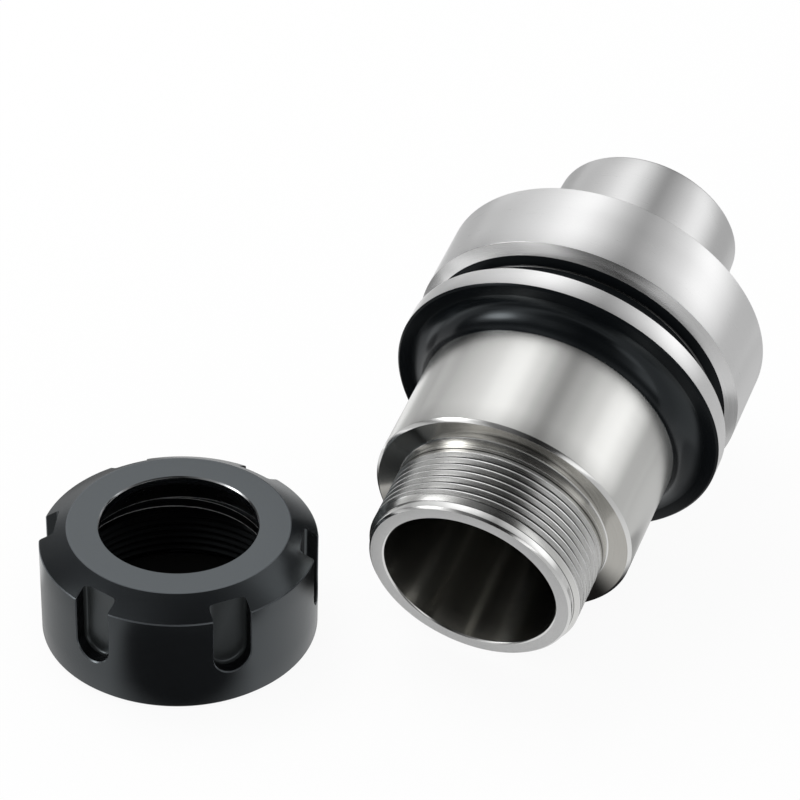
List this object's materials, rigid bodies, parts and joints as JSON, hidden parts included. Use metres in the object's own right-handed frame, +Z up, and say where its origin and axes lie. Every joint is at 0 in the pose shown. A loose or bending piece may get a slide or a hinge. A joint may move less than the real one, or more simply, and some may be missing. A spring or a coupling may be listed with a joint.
{
  "type": "collet chuck holder",
  "caption": "Hollow-taper collet chuck body with gripper flange and threaded nose, lying beside its slotted clamping nut.",
  "frame": {"origin": "on the floor, under the middle of the box round the body and the nut", "axes": "+Z up; the body's axis lies in a Y-Z plane and dips 14.64 degrees towards -Y, its collet end; the nut stands on the -X side"},
  "size_m": [0.1086, 0.1292, 0.0673],
  "materials": {
    "ground_steel": "turned and ground, bright; black oxide on the flange's front face and in the groove",
    "blackened_steel": "black oxide, satin, with a paler ground front ring"
  },
  "bodies": {
    "root": {"chuck_body": "ground_steel", "clamping_nut": "blackened_steel"}
  },
  "joints": []
}
